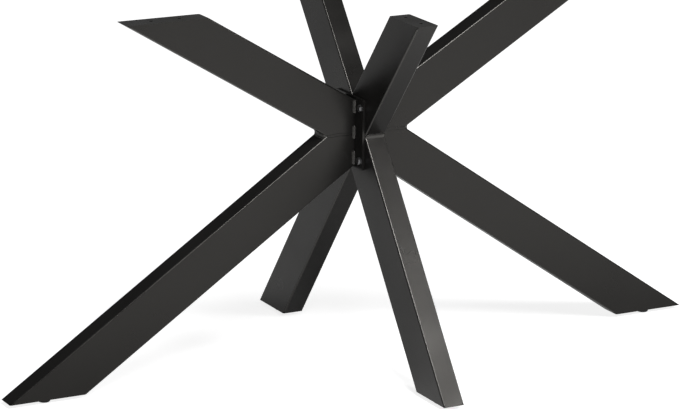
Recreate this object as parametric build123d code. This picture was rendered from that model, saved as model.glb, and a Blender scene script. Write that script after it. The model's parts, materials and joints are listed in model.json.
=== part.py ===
"""Steel table base with four K-shaped arms on a bolted hub.

Two frames cross at a right angle. The long frame runs along X and the short
frame along Y. Each arm is a V lying on its side: an upper tube rises from the
knee to the tabletop and a lower tube falls from the knee to the floor. The two
short arms meet at the middle and form one welded frame. Each long arm ends in a
flange, and four bolts clamp both flanges on the sides of the short frame.

Lengths are millimetres and angles are degrees above or below the horizontal.
The origin is on the floor, below the middle of the hub, and +Z is up.
"""
from build123d import *
from math import radians, sin, tan
import os

# Rectangular tube
tube_depth = 90.0
tube_width = 45.0
tube_wall = 2.0
tube_corner = 3.0

# Heights
top_height = 730.0
knee_height = 469.0

# Long frame, along X
long_knee = 88.0
long_upper_angle = 31.0
long_lower_angle = 34.1

# Short frame, along Y
short_knee = 57.0
short_upper_angle = 52.1
short_lower_angle = 53.8

# Plates that close the tube ends
end_plate_thickness = 5.0
top_hole_radius = 3.4
top_hole_spacing = 60.0

# Levelling glides
glide_height = 8.5
glide_radius = 12.0
glide_edge = 1.2
screw_radius = 4.0
screw_length = 20.0
thread_clearance = 0.05

# Hub flanges, centred a little above the knees
hub_rise = 3.0
flange_thickness = 5.0
flange_width = 114.0
flange_height = 143.0
flange_corner = 3.0

# Hub bolts
bolt_side_spacing = 95.0
bolt_height_spacing = 107.0
bolt_radius = 4.0
bolt_length = 65.0
bolt_hole_clearance = 0.5
head_flats = 13.0
head_height = 5.3
head_edge = 0.8
nut_height = 6.5

# Stitch welds
weld_leg = 5.0
weld_length = 30.0
weld_spacing = 52.0
knee_weld_throat = 3.5

# Worked out from the sizes above
foot_height = glide_height
hub_height = knee_height + hub_rise
side_face = tube_width / 2
flange_face = side_face + flange_thickness
reach = 4 * top_height


class Arm:
    """One V of the base, drawn in the XZ plane with its knee towards +X."""

    def __init__(self, name, turn, knee, upper_angle, lower_angle, inner_end):
        self.name = name
        self.turn = turn
        self.knee = knee
        self.upper_slope = tan(radians(upper_angle))
        self.lower_slope = tan(radians(lower_angle))
        self.inner_end = inner_end
        self.upper_cut = tube_depth / sin(radians(upper_angle))
        self.lower_cut = tube_depth / sin(radians(lower_angle))

    def place(self, shape):
        """Turn a shape from the arm's own frame to its place in the base."""
        return Rot(0, 0, self.turn) * shape

    def upper_middle(self, height):
        """Distance from the axis to the middle of the upper tube's level cut."""
        return self.knee + (height - knee_height) / self.upper_slope - self.upper_cut / 2

    def lower_middle(self, height):
        """Distance from the axis to the middle of the lower tube's level cut."""
        return self.knee + (knee_height - height) / self.lower_slope - self.lower_cut / 2

    def upper_plane(self):
        """Cross-section plane of the upper tube, with its depth along the plane's X."""
        start = (self.upper_middle(knee_height), 0, knee_height)
        return Plane(start, x_dir=(-self.upper_slope, 0, 1), z_dir=(1, 0, self.upper_slope))

    def lower_plane(self):
        """Cross-section plane of the lower tube, with its depth along the plane's X."""
        start = (self.lower_middle(knee_height), 0, knee_height)
        return Plane(start, x_dir=(self.lower_slope, 0, 1), z_dir=(1, 0, -self.lower_slope))


arms = [
    Arm("long_left", 180, long_knee, long_upper_angle, long_lower_angle, flange_face),
    Arm("long_right", 0, long_knee, long_upper_angle, long_lower_angle, flange_face),
    Arm("short_front", -90, short_knee, short_upper_angle, short_lower_angle, 0.0),
    Arm("short_back", 90, short_knee, short_upper_angle, short_lower_angle, 0.0),
]
long_arms = arms[:2]
short_arms = arms[2:]


def slab(inner_end, low, high):
    """Everything outward of inner_end and between two heights."""
    corner = Pos(inner_end, -tube_width, low)
    return corner * Box(reach, 2 * tube_width, high - low, align=(Align.MIN, Align.MIN, Align.MIN))


def bar(plane):
    """An endless solid bar of the tube's outline."""
    outline = RectangleRounded(tube_depth, tube_width, tube_corner)
    return extrude(plane * outline, reach, both=True)


def core(plane):
    """The endless hollow inside a tube, with plain corners."""
    outline = Rectangle(tube_depth - 2 * tube_wall, tube_width - 2 * tube_wall)
    return extrude(plane * outline, reach, both=True)


def tube(plane, inner_end, low, high):
    """A hollow tube, cut level at both ends and upright at its inner end."""
    return (bar(plane) - core(plane)) & slab(inner_end, low, high)


def bolt_places():
    """The four hub bolts, as (sideways, height) pairs."""
    places = []
    for side in (-1, 1):
        for level in (-1, 1):
            across = side * bolt_side_spacing / 2
            height = hub_height + level * bolt_height_spacing / 2
            places.append((across, height))
    return places


def along_x(shape, x, y, z):
    """Lay a shape that is drawn along Z along X, starting at a point."""
    return Pos(x, y, z) * Rot(0, 90, 0) * shape


def rod(radius, length):
    """A plain round rod that starts at the origin and runs up Z."""
    return Cylinder(radius, length, align=(Align.CENTER, Align.CENTER, Align.MIN))


def long_upper_tube(arm):
    """Upper tube of a long arm, from the flange to its top plate."""
    top = top_height - end_plate_thickness
    return tube(arm.upper_plane(), arm.inner_end, knee_height, top)


def long_lower_tube(arm):
    """Lower tube of a long arm, from the flange to its foot plate."""
    foot = foot_height + end_plate_thickness
    return tube(arm.lower_plane(), arm.inner_end, foot, knee_height)


def short_wall_holes(shape):
    """Drill the bolt holes through both broad walls of a short tube."""
    for across, height in bolt_places():
        drill = Rot(90, 0, 0) * Cylinder(bolt_radius + bolt_hole_clearance, 2 * tube_width)
        shape -= Pos(abs(across), 0, height) * drill
    return shape


def short_upper_tube(arm):
    """Upper tube of a short arm, mitred to its opposite at the middle."""
    top = top_height - end_plate_thickness
    return short_wall_holes(tube(arm.upper_plane(), arm.inner_end, knee_height, top))


def short_lower_tube(arm):
    """Lower tube of a short arm, mitred to its opposite at the middle."""
    foot = foot_height + end_plate_thickness
    return short_wall_holes(tube(arm.lower_plane(), arm.inner_end, foot, knee_height))


def top_plate(arm):
    """Plate that closes the upper tube, with two tapped holes for the tabletop."""
    underside = top_height - end_plate_thickness
    plate = bar(arm.upper_plane()) & slab(arm.inner_end, underside, top_height)
    middle = arm.upper_middle(top_height - end_plate_thickness / 2)
    for side in (-1, 1):
        hole = rod(top_hole_radius, 2 * end_plate_thickness)
        plate -= Pos(middle + side * top_hole_spacing / 2, 0, underside - end_plate_thickness / 2) * hole
    return plate


def foot_plate(arm):
    """Plate that closes the lower tube, with a tapped hole for the glide."""
    plate = bar(arm.lower_plane()) & slab(arm.inner_end, foot_height, foot_height + end_plate_thickness)
    hole = rod(screw_radius + thread_clearance, 2 * end_plate_thickness)
    middle = arm.lower_middle(foot_height)
    return plate - Pos(middle, 0, foot_height - end_plate_thickness / 2) * hole


def glide_pad(arm):
    """Round plastic foot with a bevelled lower edge."""
    pad = rod(glide_radius, glide_height)
    pad = chamfer(pad.edges().group_by(Axis.Z)[0], glide_edge)
    return Pos(arm.lower_middle(foot_height), 0, 0) * pad


def glide_screw(arm):
    """Threaded screw that stands on the glide pad and turns in the foot plate."""
    return Pos(arm.lower_middle(foot_height), 0, foot_height) * rod(screw_radius, screw_length)


def flange():
    """Plate welded over the inner end of a long arm, with four bolt holes."""
    outline = RectangleRounded(flange_height, flange_width, flange_corner)
    plate = along_x(extrude(outline, flange_thickness), side_face, 0, hub_height)
    for across, height in bolt_places():
        hole = rod(bolt_radius + bolt_hole_clearance, 2 * flange_face)
        plate -= along_x(hole, 0, across, height)
    return plate


def hexagon(height):
    """A hexagon of the bolt's wrench size with bevelled upper edges."""
    block = extrude(RegularPolygon(head_flats / 2, 6, major_radius=False), height)
    return chamfer(block.edges().group_by(Axis.Z)[-1], head_edge)


def hex_bolt():
    """Hexagon bolt with its head up, its seat at the origin and its shank down."""
    return hexagon(head_height) + Rot(180, 0, 0) * rod(bolt_radius, bolt_length)


def hex_nut():
    """Hexagon nut lying on the origin."""
    return hexagon(nut_height) - rod(bolt_radius + thread_clearance, nut_height)


def fasteners(shape, arm):
    """Copies of one fastener at the four bolts, on the flange of one long arm."""
    copies = []
    for across, height in bolt_places():
        copies.append(arm.place(along_x(shape, flange_face, across, height)))
    return Compound(children=copies)


def fillet_bead():
    """A fillet weld bead along Z, in a corner at the origin."""
    section = make_face(Polyline((0, 0), (weld_leg, 0), (0, weld_leg), close=True))
    return extrude(section, weld_length / 2, both=True)


def flange_welds(arm):
    """Stitch welds that hold a long arm's two broad faces to its flange."""
    beads = []
    for level in (-1, 0, 1):
        height = hub_height + level * weld_spacing
        beads.append(Pos(flange_face, side_face, height) * fillet_bead())
        beads.append(Pos(flange_face, -side_face, height) * Rot(0, 0, -90) * fillet_bead())
    return Compound(children=[arm.place(bead) for bead in beads])


def knee_weld(arm):
    """Weld that fills the inner corner where the upper and lower tubes meet."""
    edge = arm.knee + knee_weld_throat
    corner = (arm.knee, 0, knee_height)
    upper = (edge, 0, knee_height + knee_weld_throat * arm.upper_slope)
    lower = (edge, 0, knee_height - knee_weld_throat * arm.lower_slope)
    triangle = make_face(Polyline(corner, upper, lower, close=True))
    return extrude(triangle, side_face - tube_corner / 3, dir=(0, 1, 0), both=True)


def build_nodes():
    """Every piece of the base in its place, by name."""
    nodes = {}
    for arm in long_arms:
        nodes[arm.name + "_upper_tube"] = arm.place(long_upper_tube(arm))
        nodes[arm.name + "_lower_tube"] = arm.place(long_lower_tube(arm))
        nodes[arm.name + "_flange"] = arm.place(flange())
        nodes[arm.name + "_flange_welds"] = flange_welds(arm)
    for arm in short_arms:
        nodes[arm.name + "_upper_tube"] = arm.place(short_upper_tube(arm))
        nodes[arm.name + "_lower_tube"] = arm.place(short_lower_tube(arm))
    for arm in arms:
        nodes[arm.name + "_top_plate"] = arm.place(top_plate(arm))
        nodes[arm.name + "_foot_plate"] = arm.place(foot_plate(arm))
        nodes[arm.name + "_knee_weld"] = arm.place(knee_weld(arm))
        nodes[arm.name + "_glide_pad"] = arm.place(glide_pad(arm))
        nodes[arm.name + "_glide_screw"] = arm.place(glide_screw(arm))
    nodes["hub_bolts"] = fasteners(hex_bolt(), long_arms[0])
    nodes["hub_nuts"] = fasteners(hex_nut(), long_arms[1])
    return nodes


os.makedirs("parts", exist_ok=True)
for node_name, node_shape in build_nodes().items():
    export_step(node_shape, f"parts/{node_name}.step")
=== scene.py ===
"""Look of the table base: finishes, weld beads, soft studio light and camera.

The base stands on the floor at z = 0 with its hub axis on the Z axis. The long
frame runs along X and the short frame along Y. Lengths are metres.
"""
import bmesh
import bpy
import json
from math import cos, pi, radians, sin
from mathutils import Matrix, Vector


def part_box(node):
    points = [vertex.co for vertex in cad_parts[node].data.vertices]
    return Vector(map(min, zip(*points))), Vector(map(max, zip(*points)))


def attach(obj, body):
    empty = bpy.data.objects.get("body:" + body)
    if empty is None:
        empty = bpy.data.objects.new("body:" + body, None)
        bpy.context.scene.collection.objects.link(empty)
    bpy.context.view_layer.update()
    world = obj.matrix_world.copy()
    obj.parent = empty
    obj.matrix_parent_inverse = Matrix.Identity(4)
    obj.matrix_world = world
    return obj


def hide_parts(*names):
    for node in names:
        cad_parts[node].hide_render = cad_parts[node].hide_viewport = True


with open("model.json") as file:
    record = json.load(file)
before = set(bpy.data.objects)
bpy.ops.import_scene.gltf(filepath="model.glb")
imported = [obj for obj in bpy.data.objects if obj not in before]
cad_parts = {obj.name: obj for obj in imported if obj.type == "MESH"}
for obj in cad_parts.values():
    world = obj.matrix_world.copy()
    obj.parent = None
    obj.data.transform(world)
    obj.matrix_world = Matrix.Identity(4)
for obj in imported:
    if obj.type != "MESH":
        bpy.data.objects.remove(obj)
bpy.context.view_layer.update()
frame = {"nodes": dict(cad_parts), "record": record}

LONG_ARMS = ("long_left", "long_right")
SHORT_ARMS = ("short_front", "short_back")

# Photo frame, in pixels
PHOTO_WIDTH = 680
PHOTO_FOCAL = 3343.0

# Camera
CAMERA_DISTANCE = 6.452
CAMERA_HEIGHT = 2.0915
CAMERA_AZIMUTH = radians(28.743)
CAMERA_YAW = radians(-0.349)
CAMERA_PITCH = radians(15.41)
CAMERA_ROLL = radians(0.916)
CAMERA_REACH = 200
SENSOR_WIDTH = 36.0

# Powder coat, with a paler tint on welds and on the rounded corners of the tubes, a painted highlight,
# and more shine there
COAT_TINT = (0.0085, 0.0082, 0.0078)
COAT_ROUGHNESS = 0.3
COAT_SHINE = 0.28
# Paler tint of welds and corners: a painted highlight
PALE_HIGHLIGHT_TINT = (0.012, 0.0117, 0.0113)
WELD_ROUGHNESS = 0.24
WELD_SHINE = 0.55
CORNER_ROUGHNESS = 0.26
CORNER_SHINE = 0.7
SHINE_TINT = (1.0, 0.965, 0.915, 1)
DARKER_PATCH = 0.82
PALER_PATCH = 1.2
GLOSSIER_PATCH = 0.04
DULLER_PATCH = 0.06

# A face belongs to a rounded corner when its normal leans across the tube between these
CORNER_FROM = 0.05
CORNER_TO = 0.95

# The usual range of a noise texture
NOISE_LOW = 0.3
NOISE_HIGH = 0.7

# Weld beads, whose width drifts a little along the way
RIPPLE_PITCH = 0.0026
RIPPLE_DEPTH = 0.09
RIPPLE_MIDDLE = 0.6
RIPPLE_LAG = 0.55
STEPS_PER_RIPPLE = 8
FEWEST_STEPS = 24
STEPS_ACROSS = 14
BEAD_BULGE = 0.22
BEAD_END_SHARPNESS = 9
DRIFT = 0.05
DRIFT_PITCH = 0.03
DRIFT_TURN = 7.3
DRIFT_START = 40
LONG_KNEE_BEAD = 2.6
LONG_KNEE_BULGE = -0.15
WELD_POINT_MERGE = 1e-6

# Ground knee seams of the long arms
SEAM_HALF_WIDTH = 0.003
SEAM_RISE = 0.0001
SEAM_SINK = 0.0002
SEAM_WANDER = 0.0006
SEAM_UNEVENNESS = 0.25
SEAM_STEPS = 24
SEAM_STEPS_ACROSS = 8

# Floor, and how bright the camera sees it at the hub axis and from GLOW_REACH outward
FLOOR_SIZE = 60
FLOOR_TINT = 0.55
FLOOR_ROUGHNESS = 0.9
NEAR_GLOW = 0.8
FAR_GLOW = 1.0
GLOW_REACH = 2.5

# Painted reflection: how brightly the floor glows for glossy rays, brighter in front and darker behind,
# with a painted round shade under the base
FRONT_Y = -0.8
FRONT_PAINTED_REFLECTION = 1.1
BACK_Y = -0.1
BACK_PAINTED_REFLECTION = 0.44
SHADE_CENTRE = (0.22, 0.1, 0)
SHADE_START = 0.2
SHADE_END = 0.45

# Walls and ceiling, and how far up a line of sight points where the walls end and the ceiling starts
WALL_LIGHT = 0.25
WALL_TOP = 0.1
CEILING_LIGHT = 0.05
CEILING_START = 0.45

# Lamps, with their power in watts
LAMP_TARGET = (0.0, 0.0, 0.4)
KEY_PLACE = (1.7, -2.4, 2.25)
KEY_SIZE = 0.9
KEY_POWER = 45
OVERHEAD_PLACE = (-0.3, -1.9, 2.7)
OVERHEAD_SIZE = 1.1
OVERHEAD_POWER = 75


def socket_value(node, name, value):
    """Set a constant on a shader socket."""
    node.inputs[name].default_value = value


def new_material(name):
    """A node material with its Principled shader, as (material, nodes, links, shader)."""
    material = bpy.data.materials.new(name)
    material.use_nodes = True
    tree = material.node_tree
    return material, tree.nodes, tree.links, tree.nodes["Principled BSDF"]


def noise(nodes, links, coordinates, scale, detail, roughness=0.5):
    """A noise texture over the object's own coordinates."""
    texture = nodes.new("ShaderNodeTexNoise")
    socket_value(texture, "Scale", scale)
    socket_value(texture, "Detail", detail)
    socket_value(texture, "Roughness", roughness)
    links.new(coordinates.outputs["Object"], texture.inputs["Vector"])
    return texture


def ramp(nodes, links, source, low, high):
    """Colours from low to high over the range of a noise texture."""
    colours = nodes.new("ShaderNodeValToRGB")
    ends = colours.color_ramp.elements
    ends[0].position = NOISE_LOW
    ends[0].color = (*low, 1)
    ends[1].position = NOISE_HIGH
    ends[1].color = (*high, 1)
    links.new(source.outputs["Fac"], colours.inputs["Fac"])
    return colours


def graded(nodes, links, source, start, end, low, high, fade="LINEAR"):
    """A value that goes from low to high as the source goes from start to end."""
    grade = nodes.new("ShaderNodeMapRange")
    grade.interpolation_type = fade
    socket_value(grade, "From Min", start)
    socket_value(grade, "From Max", end)
    socket_value(grade, "To Min", low)
    socket_value(grade, "To Max", high)
    links.new(source, grade.inputs["Value"])
    return grade.outputs["Result"]


def noise_range(nodes, links, source, low, high):
    """Plain numbers from low to high over the range of a noise texture."""
    return graded(nodes, links, source.outputs["Fac"], NOISE_LOW, NOISE_HIGH, low, high)


def bump(nodes, links, source, distance, strength, below=None):
    """Bump from a height, on top of another bump."""
    relief = nodes.new("ShaderNodeBump")
    socket_value(relief, "Distance", distance)
    socket_value(relief, "Strength", strength)
    links.new(source.outputs["Fac"], relief.inputs["Height"])
    if below:
        links.new(below.outputs["Normal"], relief.inputs["Normal"])
    return relief


def connect(links, shader, colours, gloss, relief):
    """Drive a shader's colour, roughness and normal."""
    links.new(colours.outputs["Color"], shader.inputs["Base Color"])
    links.new(gloss, shader.inputs["Roughness"])
    links.new(relief.outputs["Normal"], shader.inputs["Normal"])


def powder_coat(name, tint, roughness, shine):
    """Black powder coat: a fine orange-peel texture with slightly uneven colour and gloss."""
    material, nodes, links, shader = new_material(name)
    place = nodes.new("ShaderNodeTexCoord")
    patches = noise(nodes, links, place, scale=9.0, detail=4.0)
    grain = noise(nodes, links, place, scale=1400.0, detail=2.0)
    peel = noise(nodes, links, place, scale=420.0, detail=2.0)
    dark = tuple(DARKER_PATCH * value for value in tint)
    pale = tuple(PALER_PATCH * value for value in tint)
    colours = ramp(nodes, links, patches, dark, pale)
    gloss = noise_range(nodes, links, patches, roughness - GLOSSIER_PATCH, roughness + DULLER_PATCH)
    fine = bump(nodes, links, grain, distance=0.00012, strength=0.5)
    coarse = bump(nodes, links, peel, distance=0.00025, strength=0.4, below=fine)
    connect(links, shader, colours, gloss, coarse)
    socket_value(shader, "Specular IOR Level", shine)
    socket_value(shader, "Specular Tint", SHINE_TINT)
    return material


def fastener_steel():
    """Dark plated steel with fine turned marks."""
    material, nodes, links, shader = new_material("fastener_steel")
    place = nodes.new("ShaderNodeTexCoord")
    stains = noise(nodes, links, place, scale=160.0, detail=4.0)
    marks = noise(nodes, links, place, scale=2600.0, detail=2.0)
    colours = ramp(nodes, links, stains, low=(0.16, 0.16, 0.165), high=(0.34, 0.34, 0.345))
    gloss = noise_range(nodes, links, stains, low=0.28, high=0.42)
    relief = bump(nodes, links, marks, distance=0.00005, strength=0.4)
    connect(links, shader, colours, gloss, relief)
    socket_value(shader, "Metallic", 1.0)
    return material


def glide_plastic():
    """Black moulded nylon, matte, with scuffs."""
    material, nodes, links, shader = new_material("glide_plastic")
    place = nodes.new("ShaderNodeTexCoord")
    scuffs = noise(nodes, links, place, scale=220.0, detail=5.0, roughness=0.65)
    colours = ramp(nodes, links, scuffs, low=(0.012, 0.012, 0.012), high=(0.03, 0.03, 0.029))
    gloss = noise_range(nodes, links, scuffs, low=0.5, high=0.68)
    relief = bump(nodes, links, scuffs, distance=0.0001, strength=0.3)
    connect(links, shader, colours, gloss, relief)
    return material


def finishes():
    """One material for each slot of the record."""
    return {
        "powder_coat": powder_coat("powder_coat", COAT_TINT, COAT_ROUGHNESS, COAT_SHINE),
        # The weld's paler tint is a painted highlight
        "coated_weld": powder_coat("coated_weld", PALE_HIGHLIGHT_TINT, WELD_ROUGHNESS, WELD_SHINE),
        "fastener_steel": fastener_steel(),
        "glide_plastic": glide_plastic(),
    }


def dress(piece, material):
    """Give a piece one material."""
    piece.data.materials.clear()
    piece.data.materials.append(material)


def dress_cad_nodes(materials):
    """Give every CAD node the finish of its slot in the record."""
    for subpart in frame["record"]["subparts"]:
        dress(frame["nodes"][subpart["node"]], materials[subpart["material_slot"]])


def dress_corners():
    """Give the rounded corners of the tubes a paler tint, a painted highlight line along each edge, and a
    smoother, shinier coat.
    """
    # Paler tint on the corners: a painted highlight line along every edge
    material = powder_coat("powder_coat_corner_highlight", PALE_HIGHLIGHT_TINT, CORNER_ROUGHNESS, CORNER_SHINE)
    for arm in LONG_ARMS + SHORT_ARMS:
        across = 1 if arm in LONG_ARMS else 0
        for part in ("_upper_tube", "_lower_tube"):
            mesh = frame["nodes"][arm + part].data
            mesh.materials.append(material)
            for polygon in mesh.polygons:
                if CORNER_FROM < abs(polygon.normal[across]) < CORNER_TO:
                    polygon.material_index = 1


def solid_boxes(node):
    """Lowest and highest corner of each separate solid of a CAD node."""
    mesh = frame["nodes"][node].data
    places = {}
    key_of = []
    for vertex in mesh.vertices:
        key = tuple(round(value, 6) for value in vertex.co)
        places.setdefault(key, key)
        key_of.append(key)
    parent = {key: key for key in places}

    def root(key):
        while parent[key] != key:
            parent[key] = parent[parent[key]]
            key = parent[key]
        return key

    for edge in mesh.edges:
        first, second = (root(key_of[index]) for index in edge.vertices)
        parent[first] = second
    groups = {}
    for key in places:
        groups.setdefault(root(key), []).append(key)
    boxes = []
    for points in groups.values():
        low = Vector(min(point[axis] for point in points) for axis in range(3))
        high = Vector(max(point[axis] for point in points) for axis in range(3))
        boxes.append((low, high))
    return boxes


def bead_grid(start, end, first_edge, second_edge, bulge):
    """Points of a rippled weld bead, in rows from one end of its corner line to the other."""
    length = (end - start).length
    steps = max(int(length / RIPPLE_PITCH * STEPS_PER_RIPPLE), FEWEST_STEPS)
    rows = []
    for step in range(steps + 1):
        along = step / steps
        swell = max(0.0, 1 - abs(2 * along - 1) ** BEAD_END_SHARPNESS) ** 0.5
        phase = DRIFT_TURN * along * length / DRIFT_PITCH + DRIFT_START * (start.x + start.z)
        drift = 1 + DRIFT * sin(phase)
        row = []
        for turn in range(STEPS_ACROSS + 1):
            across = turn / STEPS_ACROSS
            crown = sin(pi * across)
            wave = abs(sin(pi * (along * length / RIPPLE_PITCH - RIPPLE_LAG * crown)))
            reach = swell * drift * (1 + bulge * crown + RIPPLE_DEPTH * (wave - RIPPLE_MIDDLE))
            edge = first_edge * (1 - across) + second_edge * across
            row.append(start.lerp(end, along) + edge * reach)
        row.append(start.lerp(end, along))
        rows.append(row)
    return rows


def mesh_from_rows(name, rows):
    """A closed tube of quads through rows of points, with both ends capped."""
    count = len(rows[0])
    points = [point for row in rows for point in row]
    faces = []
    for row in range(len(rows) - 1):
        for column in range(count):
            after = (column + 1) % count
            here = row * count
            there = here + count
            faces.append((here + column, here + after, there + after, there + column))
    faces.append(tuple(reversed(range(count))))
    faces.append(tuple(range((len(rows) - 1) * count, len(rows) * count)))
    mesh = bpy.data.meshes.new(name)
    mesh.from_pydata(points, [], faces)
    mesh.validate()
    mesh.polygons.foreach_set("use_smooth", [True] * len(mesh.polygons))
    return mesh


def join_meshes(name, meshes):
    """One object from several meshes, with its faces turned outward."""
    work = bmesh.new()
    for mesh in meshes:
        work.from_mesh(mesh)
    bmesh.ops.remove_doubles(work, verts=work.verts, dist=WELD_POINT_MERGE)
    bmesh.ops.recalc_face_normals(work, faces=work.faces)
    joined = bpy.data.meshes.new(name)
    work.to_mesh(joined)
    work.free()
    for mesh in meshes:
        bpy.data.meshes.remove(mesh)
    piece = bpy.data.objects.new(name, joined)
    bpy.context.scene.collection.objects.link(piece)
    return piece


def nearest(low, high):
    """Of two ends of a range, the one nearer zero and the other."""
    if abs(low) < abs(high):
        return low, high
    return high, low


def finish_weld(piece, node, material):
    """Put a weld piece in the place of its CAD node."""
    dress(piece, material)
    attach(piece, "root")
    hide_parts(node)


def stitch_welds(node, material):
    """Rippled beads in place of a node of upright stitch welds."""
    beads = []
    for low, high in solid_boxes(node):
        inner_x, outer_x = nearest(low.x, high.x)
        inner_y, outer_y = nearest(low.y, high.y)
        start = Vector((inner_x, inner_y, low.z))
        end = Vector((inner_x, inner_y, high.z))
        first_edge = Vector((outer_x - inner_x, 0, 0))
        second_edge = Vector((0, outer_y - inner_y, 0))
        rows = bead_grid(start, end, first_edge, second_edge, BEAD_BULGE)
        beads.append(mesh_from_rows("bead", rows))
    finish_weld(join_meshes(node + "_beads", beads), node, material)


def knee_weld(arm, material):
    """A rippled bead across the inner corner of an arm's knee, wide and hollow on the long arms."""
    node = arm + "_knee_weld"
    low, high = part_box(node)
    knee_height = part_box(arm + "_upper_tube")[0].z
    is_long = arm in LONG_ARMS
    axis = 0 if is_long else 1
    inner, outer = nearest(low[axis], high[axis])
    start = Vector((low.x, low.y, knee_height))
    end = Vector((high.x, high.y, knee_height))
    start[axis] = inner
    end[axis] = inner
    out = Vector((0, 0, 0))
    out[axis] = outer - inner
    upper_edge = out + Vector((0, 0, high.z - knee_height))
    lower_edge = out + Vector((0, 0, low.z - knee_height))
    bulge = BEAD_BULGE
    if is_long:
        upper_edge *= LONG_KNEE_BEAD
        lower_edge *= LONG_KNEE_BEAD
        bulge = LONG_KNEE_BULGE
    bead = mesh_from_rows("bead", bead_grid(start, end, upper_edge, lower_edge, bulge))
    finish_weld(join_meshes(node + "_bead", [bead]), node, material)


def seam_rows(inner, knee, side, knee_height):
    """Points of a low soft ridge on one broad face, in rows from the flange to the knee."""
    outward = 1 if side > 0 else -1
    rows = []
    for step in range(SEAM_STEPS + 1):
        along = step / SEAM_STEPS
        place = inner + (knee - inner) * along
        wander = SEAM_WANDER * sin(9.0 * along + 3.0 * outward)
        row = []
        for turn in range(SEAM_STEPS_ACROSS + 1):
            spread = turn / SEAM_STEPS_ACROSS * 2 - 1
            unevenness = 1 + SEAM_UNEVENNESS * sin(31 * along + 2 * spread)
            rise = SEAM_RISE * (1 - spread * spread) ** 2 * unevenness
            height = knee_height + wander + spread * SEAM_HALF_WIDTH
            row.append(Vector((place, side + outward * rise, height)))
        row.append(Vector((place, side - outward * SEAM_SINK, knee_height + wander)))
        rows.append(row)
    return rows


def knee_seam(arm, material):
    """The ground mitre weld on both broad faces of a long arm."""
    tube_low, tube_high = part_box(arm + "_upper_tube")
    weld_low, weld_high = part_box(arm + "_knee_weld")
    bead_low, bead_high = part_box(arm + "_flange_welds")
    knee = nearest(weld_low.x, weld_high.x)[0]
    inner = nearest(bead_low.x, bead_high.x)[1]
    strips = []
    for side in (tube_low.y, tube_high.y):
        strips.append(mesh_from_rows("seam", seam_rows(inner, knee, side, tube_low.z)))
    piece = join_meshes(arm + "_knee_seam", strips)
    dress(piece, material)
    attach(piece, "root")


def build_welds(materials):
    """All weld beads and seams."""
    for arm in LONG_ARMS:
        stitch_welds(arm + "_flange_welds", materials["coated_weld"])
        knee_seam(arm, materials["powder_coat"])
    for arm in LONG_ARMS + SHORT_ARMS:
        knee_weld(arm, materials["coated_weld"])


def math_node(nodes, links, operation, first, second):
    """The result of a sum, product or other operation on two values."""
    node = nodes.new("ShaderNodeMath")
    node.operation = operation
    links.new(first, node.inputs[0])
    links.new(second, node.inputs[1])
    return node.outputs["Value"]


def distance_from(nodes, links, place, centre):
    """How far a point of an object lies from a centre."""
    node = nodes.new("ShaderNodeVectorMath")
    node.operation = "DISTANCE"
    node.inputs[1].default_value = centre
    links.new(place.outputs["Object"], node.inputs[0])
    return node.outputs["Value"]


def floor_glow_and_painted_reflection(nodes, links):
    """White for the camera; for glossy rays a painted reflection, brightest in front and dark in a
    painted round shade under the base.
    """
    ray = nodes.new("ShaderNodeLightPath").outputs
    place = nodes.new("ShaderNodeTexCoord")
    from_axis = distance_from(nodes, links, place, (0, 0, 0))
    seen = graded(nodes, links, from_axis, 0, GLOW_REACH, NEAR_GLOW, FAR_GLOW)
    direct = math_node(nodes, links, "MULTIPLY", ray["Is Camera Ray"], seen)
    split = nodes.new("ShaderNodeSeparateXYZ")
    links.new(place.outputs["Object"], split.inputs["Vector"])
    # Painted reflection: the glow that glossy rays see is brighter in front of the base and darker behind
    # it
    painted_front_back_reflection = graded(nodes, links, split.outputs["Y"], FRONT_Y, BACK_Y, FRONT_PAINTED_REFLECTION, BACK_PAINTED_REFLECTION)
    from_shade = distance_from(nodes, links, place, SHADE_CENTRE)
    # Painted shade: the reflected glow fades out in a round patch under the base
    shade = graded(nodes, links, from_shade, SHADE_START, SHADE_END, 0, 1)
    painted_reflection = math_node(nodes, links, "MULTIPLY", painted_front_back_reflection, shade)
    bounced = math_node(nodes, links, "MAXIMUM", ray["Is Glossy Ray"], ray["Is Transmission Ray"])
    reflected_painted_glow = math_node(nodes, links, "MULTIPLY", bounced, painted_reflection)
    return math_node(nodes, links, "ADD", direct, reflected_painted_glow)


def pale_floor():
    """A floor that shows white to the camera and keeps the object's shadow, and glows a painted
    reflection for glossy rays.
    """
    bpy.ops.mesh.primitive_plane_add(size=FLOOR_SIZE)
    floor = bpy.context.object
    floor.name = "floor"
    material, nodes, links, shader = new_material("pale_floor")
    socket_value(shader, "Base Color", (FLOOR_TINT, FLOOR_TINT, FLOOR_TINT, 1))
    socket_value(shader, "Roughness", FLOOR_ROUGHNESS)
    socket_value(shader, "Specular IOR Level", 0.0)
    socket_value(shader, "Emission Color", (1, 1, 1, 1))
    links.new(floor_glow_and_painted_reflection(nodes, links), shader.inputs["Emission Strength"])
    dress(floor, material)


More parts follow.
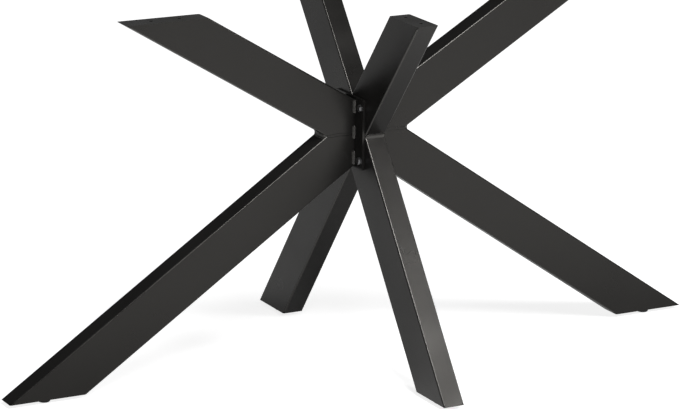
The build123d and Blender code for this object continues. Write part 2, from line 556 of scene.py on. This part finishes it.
def studio_world():
    """Pale walls all round under a dark ceiling."""
    world = bpy.data.worlds.new("studio")
    bpy.context.scene.world = world
    world.use_nodes = True
    nodes = world.node_tree.nodes
    links = world.node_tree.links
    place = nodes.new("ShaderNodeTexCoord")
    split = nodes.new("ShaderNodeSeparateXYZ")
    links.new(place.outputs["Generated"], split.inputs["Vector"])
    light = graded(
        nodes, links, split.outputs["Z"], WALL_TOP, CEILING_START, WALL_LIGHT, CEILING_LIGHT, "SMOOTHSTEP"
    )
    links.new(light, nodes["Background"].inputs["Strength"])
    socket_value(nodes["Background"], "Color", (1, 1, 1, 1))


def area_light(name, place, size, power):
    """A square soft lamp that faces a point near the middle of the base."""
    lamp = bpy.data.lights.new(name, "AREA")
    lamp.shape = "SQUARE"
    lamp.size = size
    lamp.energy = power
    piece = bpy.data.objects.new(name, lamp)
    piece.location = place
    piece.rotation_euler = (Vector(LAMP_TARGET) - Vector(place)).to_track_quat("-Z", "Y").to_euler()
    bpy.context.scene.collection.objects.link(piece)


def studio_lights():
    """A soft key lamp from the front right and one high up in front of the base."""
    area_light("key", KEY_PLACE, KEY_SIZE, KEY_POWER)
    area_light("overhead", OVERHEAD_PLACE, OVERHEAD_SIZE, OVERHEAD_POWER)


def camera_turn():
    """The camera's rotation, from its heading, pitch and roll."""
    heading = CAMERA_AZIMUTH + CAMERA_YAW
    ahead = cos(CAMERA_PITCH)
    forward = Vector((sin(heading) * ahead, cos(heading) * ahead, -sin(CAMERA_PITCH)))
    level = Vector((cos(heading), -sin(heading), 0))
    upright = level.cross(forward)
    right = level * cos(CAMERA_ROLL) + upright * sin(CAMERA_ROLL)
    up = upright * cos(CAMERA_ROLL) - level * sin(CAMERA_ROLL)
    return Matrix((right, up, -forward)).transposed()


def place_camera():
    """The photo's view, from the front left of the long frame."""
    place = Vector((-sin(CAMERA_AZIMUTH), -cos(CAMERA_AZIMUTH), 0)) * CAMERA_DISTANCE
    place.z = CAMERA_HEIGHT
    lens = bpy.data.cameras.new("camera")
    lens.sensor_width = SENSOR_WIDTH
    lens.lens = PHOTO_FOCAL * SENSOR_WIDTH / PHOTO_WIDTH
    lens.clip_end = CAMERA_REACH
    camera = bpy.data.objects.new("camera", lens)
    camera.matrix_world = Matrix.Translation(place) @ camera_turn().to_4x4()
    bpy.context.scene.collection.objects.link(camera)
    bpy.context.scene.camera = camera


finish_of_slot = finishes()
dress_cad_nodes(finish_of_slot)
dress_corners()
build_welds(finish_of_slot)
pale_floor()
studio_world()
studio_lights()
place_camera()
bpy.context.scene.view_settings.view_transform = "Standard"
